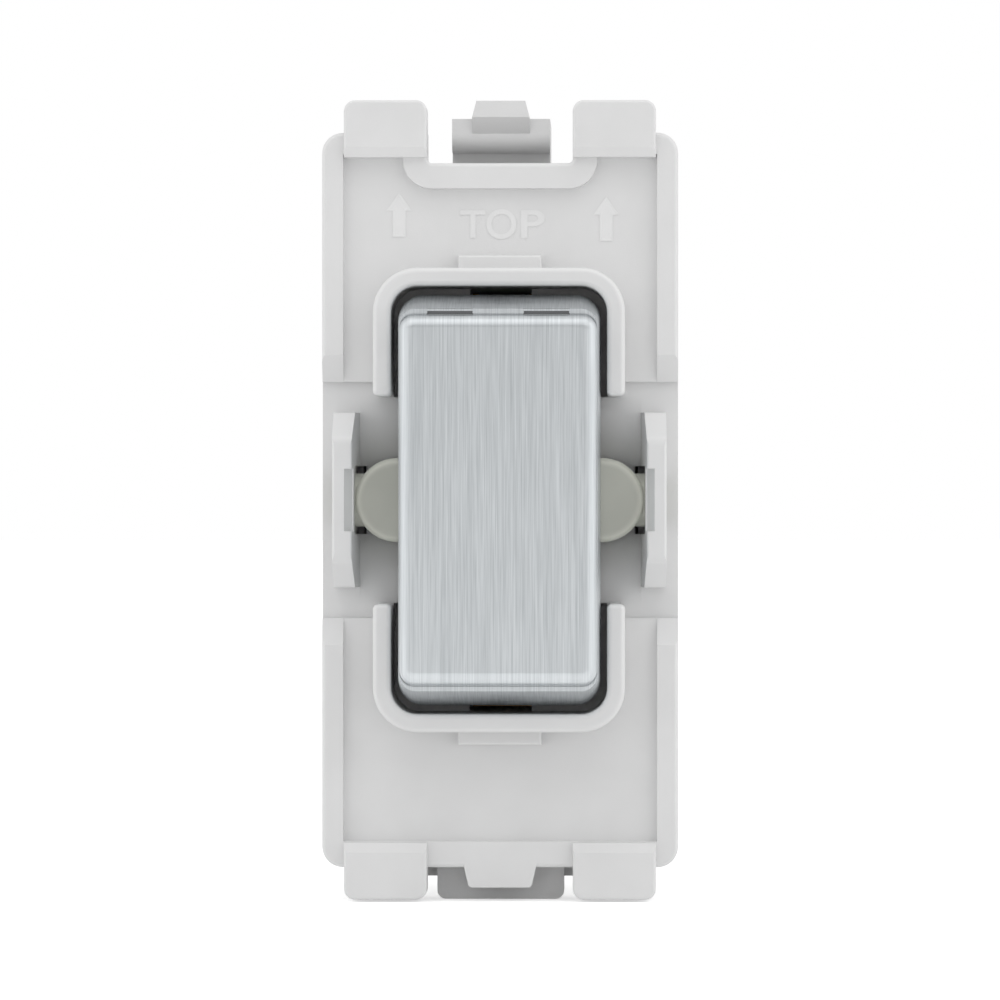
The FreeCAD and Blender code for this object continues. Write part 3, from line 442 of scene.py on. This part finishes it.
strip_brass = worked_metal("strip_brass", (0.62, 0.43, 0.18), (0.80, 0.60, 0.30), 0.3)
bar_brass = worked_metal("bar_brass", (0.60, 0.42, 0.17), (0.82, 0.62, 0.32), 0.36, EVEN, 0.006 * MM)
blade_copper = worked_metal("blade_copper", (0.62, 0.30, 0.18), (0.80, 0.44, 0.29), 0.3)
tip_silver = worked_metal("tip_silver", (0.74, 0.73, 0.70), (0.88, 0.87, 0.84), 0.25, EVEN, 0.001 * MM)
spring_wire = worked_metal("spring_wire", (0.44, 0.45, 0.47), (0.62, 0.63, 0.64), 0.28, EVEN, 0.001 * MM)
screw_plating = worked_metal("screw_plating", (0.50, 0.50, 0.47), (0.70, 0.70, 0.66), 0.3, EVEN)
print("six metals")

# %% [markdown]
# ## Giving each piece its finish
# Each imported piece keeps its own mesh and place; only its material slots change.

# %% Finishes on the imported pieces
FINISHES = {
    "front_frame": white_moulding,
    "rear_housing": rear_moulding,
    "rocker_cap": cap_steel,
    "rocker_dolly": carrier_nylon,
    "plunger": plunger_nylon,
    "plunger_spring": spring_wire,
    "return_spring_upper": spring_wire,
    "return_spring_lower": spring_wire,
    "moving_contact": blade_copper,
    "moving_tip_upper": tip_silver,
    "moving_tip_lower": tip_silver,
    "fixed_tip_upper": tip_silver,
    "fixed_tip_lower": tip_silver,
    "common_bracket": strip_brass,
    "live_strap_1": strip_brass,
    "live_strap_2": strip_brass,
    "common_terminal": bar_brass,
    "live_terminal_1": bar_brass,
    "live_terminal_2": bar_brass,
    "common_screw": screw_plating,
    "live_screw_1": screw_plating,
    "live_screw_2": screw_plating,
}

for node, finish in FINISHES.items():
    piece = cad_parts[node]
    if not piece.material_slots:
        piece.data.materials.append(finish)
    for slot in piece.material_slots:
        slot.material = finish
print(len(FINISHES), "packed pieces have their finish")

# %% [markdown]
# ## Raised marks
# The mould leaves small raised marks on the frame's recess: an arrow near each upper corner, and the
# word that says which end goes up. The arrows are one flat outline that is extruded, and its top face
# is inset and sunk, so light catches a raised rim. Each letter is a text object turned into a mesh,
# then stretched to its own width. The marks are painted a little paler than the frame, a painted
# highlight where light catches their relief, and they are smoother.

# %% Helpers for raised marks
RECESS_DEPTH = -0.9 * MM
MARK_HEIGHT = 0.06 * MM
MARK_ROOT = 0.05 * MM


def new_piece(name, form, finish):
    """Turns a bmesh into an object at the origin, with a finish."""
    mesh = bpy.data.meshes.new(name)
    form.to_mesh(mesh)
    form.free()
    mesh.materials.append(finish)
    piece = bpy.data.objects.new(name, mesh)
    bpy.context.scene.collection.objects.link(piece)
    return piece


print("marks stand", round(MARK_HEIGHT / MM, 2), "mm high")

# %% Arrows
HEAD_HALF = 0.87 * MM
SHAFT_HALF = 0.44 * MM
HEAD_LENGTH = 1.22 * MM
ARROW_LENGTH = 2.98 * MM
ARROW_RIM = 0.15 * MM


def raised_arrow(name, x, tip_z):
    """An arrow that points up, standing on the recess."""
    outline = [(0, 0), (-HEAD_HALF, -HEAD_LENGTH), (-SHAFT_HALF, -HEAD_LENGTH), (-SHAFT_HALF, -ARROW_LENGTH),
               (SHAFT_HALF, -ARROW_LENGTH), (SHAFT_HALF, -HEAD_LENGTH), (HEAD_HALF, -HEAD_LENGTH)]
    form = bmesh.new()
    corners = [form.verts.new((x + across, RECESS_DEPTH + MARK_ROOT, tip_z + up)) for across, up in outline]
    base = form.faces.new(corners)
    grown = bmesh.ops.extrude_face_region(form, geom=[base], use_keep_orig=True)
    top = [item for item in grown["geom"] if isinstance(item, bmesh.types.BMVert)]
    bmesh.ops.translate(form, verts=top, vec=(0, -MARK_HEIGHT - MARK_ROOT, 0))
    crown = [item for item in grown["geom"] if isinstance(item, bmesh.types.BMFace)]
    bmesh.ops.recalc_face_normals(form, faces=form.faces)
    bmesh.ops.inset_region(form, faces=crown, thickness=ARROW_RIM, depth=-MARK_HEIGHT / 2,
                           use_even_offset=True)
    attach(new_piece(name, form, polished_marks_painted_pale), "module")
    print(name, round(ARROW_LENGTH / MM, 2), "mm long")


raised_arrow("arrow_left", -6.82 * MM, 20.75 * MM)
raised_arrow("arrow_right", 7.15 * MM, 20.46 * MM)

# %% Raised word
FACING_FRONT = Matrix.Rotation(math.radians(90), 4, "X")
WORD_Z = 18.62 * MM
LETTER_DOUBLES = 0.0005
LETTER_BOLDNESS = 0.014
# letter, its middle's place across, its width and its height, in millimetres
WORD = (("T", -1.84, 1.69, 1.87), ("O", 0.08, 2.02, 2.02), ("P", 2.2, 1.59, 1.87))


def raised_word(name, words, centre, size, turn, finish, boldness=0.0):
    """Letters as a mesh, stretched to a width, height and depth, turned and set down about a centre."""
    curve = bpy.data.curves.new(name, "FONT")
    curve.body = words
    curve.extrude = 0.5
    curve.offset = boldness
    curve.align_x = "CENTER"
    curve.align_y = "CENTER"
    text = bpy.data.objects.new(name + "_letters", curve)
    bpy.context.scene.collection.objects.link(text)
    bpy.context.view_layer.update()
    form = bmesh.new()
    finished = text.evaluated_get(bpy.context.evaluated_depsgraph_get())
    form.from_mesh(bpy.data.meshes.new_from_object(finished))
    bpy.data.objects.remove(text)
    bmesh.ops.remove_doubles(form, verts=form.verts, dist=LETTER_DOUBLES)
    spans = []
    for axis in range(3):
        values = [vert.co[axis] for vert in form.verts]
        spans.append((min(values), max(values)))
    middle = Vector([(low + high) / 2 for low, high in spans])
    scale = [wanted / (high - low) for wanted, (low, high) in zip(size, spans)]
    bmesh.ops.translate(form, verts=form.verts, vec=-middle)
    bmesh.ops.scale(form, verts=form.verts, vec=scale)
    bmesh.ops.recalc_face_normals(form, faces=form.faces)
    bmesh.ops.transform(form, verts=form.verts, matrix=Matrix.Translation(centre) @ turn)
    print(words, "is", [round(length / MM, 2) for length in size], "mm")
    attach(new_piece(name, form, finish), "module")


for letter, x, width, height in WORD:
    centre = Vector((x * MM, RECESS_DEPTH, WORD_Z))
    size = (width * MM, height * MM, 2 * MARK_HEIGHT)
    raised_word("letter_" + letter.lower(), letter, centre, size, FACING_FRONT,
                polished_marks_painted_pale, boldness=LETTER_BOLDNESS)

# %% [markdown]
# ## Terminal marks
# An installer works from behind, so the housing names its three terminals beside the screw wells. They
# are the usual letters for a common and two switched lines, raised a little from the face.

# %% Terminal marks
FACING_BACK = Matrix.Rotation(math.radians(180), 4, "Z") @ FACING_FRONT
TOWER_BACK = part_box("rear_housing")[1][1]
BACK_MARK_HEIGHT = 0.1 * MM
LETTER_HEIGHT = 1.4 * MM
# name, letters, place across, height above the middle and width, in millimetres
TERMINAL_MARKS = (("mark_live_1", "L1", -5.0, 12.25, 1.3), ("mark_live_2", "L2", 5.0, 12.25, 1.5),
                  ("mark_common", "COM", 0.0, -12.25, 3.1))

for name, words, x, z, wide in TERMINAL_MARKS:
    centre = Vector((x * MM, TOWER_BACK, z * MM))
    size = (wide * MM, LETTER_HEIGHT, 2 * BACK_MARK_HEIGHT)
    raised_word(name, words, centre, size, FACING_BACK, rear_moulding)

# %% [markdown]
# ## Springs
# Two springs under the carrier bring the rocker back to level, and a third pushes the plunger. Each
# packed spring is hidden and gets a new coil in its place: a small ring of wire is spun round the
# spring's axis and moved along a little at each step.

# %% Coil springs
STEPS_PER_TURN = 28
WIRE_SIDES = 10


def coil_spring(name, node, turns, wire):
    """A coil in the place of a packed spring, from its back to its front."""
    low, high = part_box(node)
    radius = (high[0] - low[0] - wire) / 2
    middle = Vector(((low[0] + high[0]) / 2, 0, (low[2] + high[2]) / 2))
    length = high[1] - low[1] - wire
    form = bmesh.new()
    bmesh.ops.create_circle(form, segments=WIRE_SIDES, radius=wire / 2)
    start = middle + Vector((radius, high[1] - wire / 2, 0))
    bmesh.ops.translate(form, verts=form.verts, vec=start)
    steps = turns * STEPS_PER_TURN
    bmesh.ops.spin(form, geom=form.verts[:] + form.edges[:], cent=middle, axis=(0, 1, 0),
                   dvec=(0, -length / steps, 0), angle=turns * math.tau, steps=steps)
    open_ends = [edge for edge in form.edges if edge.is_boundary]
    bmesh.ops.holes_fill(form, edges=open_ends, sides=0)
    bmesh.ops.recalc_face_normals(form, faces=form.faces)
    piece = new_piece(name, form, spring_wire)
    piece.data.shade_smooth()
    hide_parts(node)
    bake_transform(piece)
    print(name, turns, "turns,", round(length / MM, 2), "mm long")


coil_spring("return_coil_upper", "return_spring_upper", 5, 0.36 * MM)
coil_spring("return_coil_lower", "return_spring_lower", 5, 0.36 * MM)
coil_spring("plunger_coil", "plunger_spring", 9, 0.28 * MM)

# %% The end
print("the switch scene is set up")
